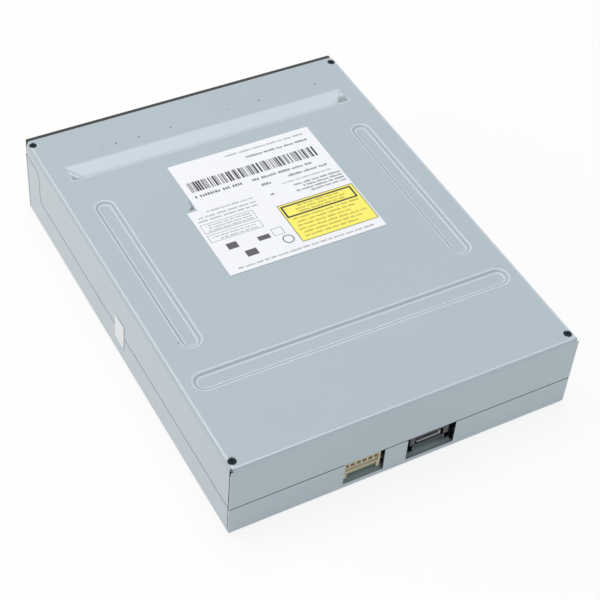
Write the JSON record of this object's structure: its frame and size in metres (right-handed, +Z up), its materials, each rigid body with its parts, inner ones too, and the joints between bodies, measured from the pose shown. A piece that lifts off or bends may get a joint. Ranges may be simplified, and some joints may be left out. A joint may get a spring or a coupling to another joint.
{
  "type": "console dvd drive",
  "caption": "Tray-loading optical disc drive for a game console: pressed steel covers, black tray front, disc tray with rack, loading train, lifting traverse with pickup, rear sockets.",
  "frame": {"origin": "middle of the underside, on the surface it lies on", "axes": "+Z up, -Y out of the tray front, +Y to the rear with the sockets, +X to the right seen from the front"},
  "size_m": [0.1461, 0.1924, 0.0366],
  "materials": {
    "top_cover": "zinc coated sheet, satin",
    "bottom_cover": "zinc coated sheet, satin",
    "main_chassis": "moulded, fine grain",
    "disc_tray": "moulded, fine grain",
    "tray_bezel": "moulded, smooth",
    "clamp_bridge": "zinc coated sheet, satin",
    "clamper": "moulded, natural",
    "clamper_cap": "moulded, natural",
    "clamp_yoke": "plain steel",
    "lift_frame": "moulded, fine grain",
    "mech_plate": "zinc coated sheet, satin",
    "spindle_base": "plain steel",
    "spindle_rotor": "plain steel",
    "turntable": "moulded, fine grain",
    "turntable_mat": "soft, matt",
    "guide_rod_left": "ground and polished",
    "guide_rod_right": "ground and polished",
    "pickup_body": "die cast",
    "lens_holder": "moulded, fine grain",
    "objective_lens": "coated",
    "lead_screw": "plain steel",
    "sled_motor": "plain steel",
    "loading_motor": "plain steel",
    "motor_pulley": "moulded, natural",
    "drive_belt": "soft, matt",
    "pulley_gear": "moulded, natural",
    "drive_gear": "moulded, natural",
    "cam_slider": "moulded, natural",
    "main_board": "solder mask",
    "control_chip": "moulded, fine grain",
    "driver_chip": "moulded, fine grain",
    "power_socket": "moulded, cream",
    "data_socket": "moulded, smooth",
    "label": "printed film",
    "seal": "thin film",
    "damper_1": "soft, matt",
    "damper_screw_1": "plain steel",
    "cover_screw_1": "black coated",
    "damper_2": "soft, matt",
    "damper_screw_2": "plain steel",
    "cover_screw_2": "black coated",
    "damper_3": "soft, matt",
    "damper_screw_3": "plain steel",
    "cover_screw_3": "black coated",
    "damper_4": "soft, matt",
    "damper_screw_4": "plain steel",
    "cover_screw_4": "black coated"
  },
  "bodies": {
    "root": {"top_cover": "top_cover", "bottom_cover": "bottom_cover", "main_chassis": "main_chassis", "clamp_bridge": "clamp_bridge", "loading_motor": "loading_motor", "drive_belt": "drive_belt", "main_board": "main_board", "control_chip": "control_chip", "driver_chip": "driver_chip", "power_socket": "power_socket", "data_socket": "data_socket", "cover_screw_1": "cover_screw_1", "cover_screw_2": "cover_screw_2", "cover_screw_3": "cover_screw_3", "cover_screw_4": "cover_screw_4", "label": "label", "seal": "seal"},
    "tray": {"disc_tray": "disc_tray", "tray_bezel": "tray_bezel"},
    "slider": {"cam_slider": "cam_slider"},
    "traverse": {"lift_frame": "lift_frame", "mech_plate": "mech_plate", "damper_1": "damper_1", "damper_2": "damper_2", "damper_3": "damper_3", "damper_4": "damper_4", "damper_screw_1": "damper_screw_1", "damper_screw_2": "damper_screw_2", "damper_screw_3": "damper_screw_3", "damper_screw_4": "damper_screw_4", "spindle_base": "spindle_base", "guide_rod_left": "guide_rod_left", "guide_rod_right": "guide_rod_right", "sled_motor": "sled_motor"},
    "spindle": {"spindle_rotor": "spindle_rotor", "turntable": "turntable", "turntable_mat": "turntable_mat"},
    "feed_screw": {"lead_screw": "lead_screw"},
    "pickup": {"pickup_body": "pickup_body"},
    "lens": {"lens_holder": "lens_holder", "objective_lens": "objective_lens"},
    "clamp": {"clamper": "clamper", "clamper_cap": "clamper_cap", "clamp_yoke": "clamp_yoke"},
    "drive_wheel": {"drive_gear": "drive_gear"},
    "belt_wheel": {"pulley_gear": "pulley_gear"},
    "belt_pulley": {"motor_pulley": "motor_pulley"}
  },
  "joints": [
    {"name": "tray_slide", "type": "slide", "parent": "root", "child": "tray", "axis": [0, -1, 0], "range_m": [0, 0.135]},
    {"name": "drive_gear_spin", "type": "hinge", "parent": "root", "child": "drive_wheel", "pos_m": [0.04, -0.07185, 0.0236], "axis": [0, 0, 1], "range_deg": [-660, 15]},
    {"name": "pulley_gear_spin", "type": "hinge", "parent": "root", "child": "belt_wheel", "pos_m": [0.022, -0.07185, 0.0236], "axis": [0, 0, 1], "range_deg": [-15, 1305]},
    {"name": "motor_pulley_spin", "type": "hinge", "parent": "root", "child": "belt_pulley", "pos_m": [-0.036, -0.07385, 0.0197], "axis": [0, 0, 1], "range_deg": [-60, 4590]},
    {"name": "cam_slide", "type": "slide", "parent": "root", "child": "slider", "axis": [1, 0, 0], "range_m": [0, 0.02]},
    {"name": "traverse_lift", "type": "hinge", "parent": "root", "child": "traverse", "pos_m": [0, 0.07115, 0.012], "axis": [-1, 0, 0], "range_deg": [0, 3]},
    {"name": "pickup_slide", "type": "slide", "parent": "traverse", "child": "pickup", "axis": [0, 0.9986, 0.0523], "range_m": [0, 0.035]},
    {"name": "lead_screw_spin", "type": "hinge", "parent": "traverse", "child": "feed_screw", "pos_m": [-0.035, -0.00928, 0.0182], "axis": [0, 0.9986, 0.0523], "range_deg": [-90, 4290]},
    {"name": "spindle_spin", "type": "hinge", "parent": "traverse", "child": "spindle", "pos_m": [0, -0.02463, 0.0243], "axis": [0, -0.0523, 0.9986], "continuous": true},
    {"name": "lens_focus", "type": "slide", "parent": "pickup", "child": "lens", "axis": [0, -0.0523, 0.9986], "range_m": [-0.0005, 0.0005], "stiffness_N_per_m": 60},
    {"name": "clamper_spin", "type": "hinge", "parent": "root", "child": "clamp", "pos_m": [0, -0.02385, 0.03], "axis": [0, 0, 1], "continuous": true}
  ],
  "couplings": [
    {"joint": "drive_gear_spin", "follows": "tray_slide", "rad_per_m": -83.333},
    {"joint": "pulley_gear_spin", "follows": "tray_slide", "rad_per_m": 166.67},
    {"joint": "motor_pulley_spin", "follows": "tray_slide", "rad_per_m": 585.71},
    {"joint": "traverse_lift", "follows": "cam_slide", "rad_per_m": 2.618},
    {"joint": "lead_screw_spin", "follows": "pickup_slide", "rad_per_m": 2094.4}
  ]
}
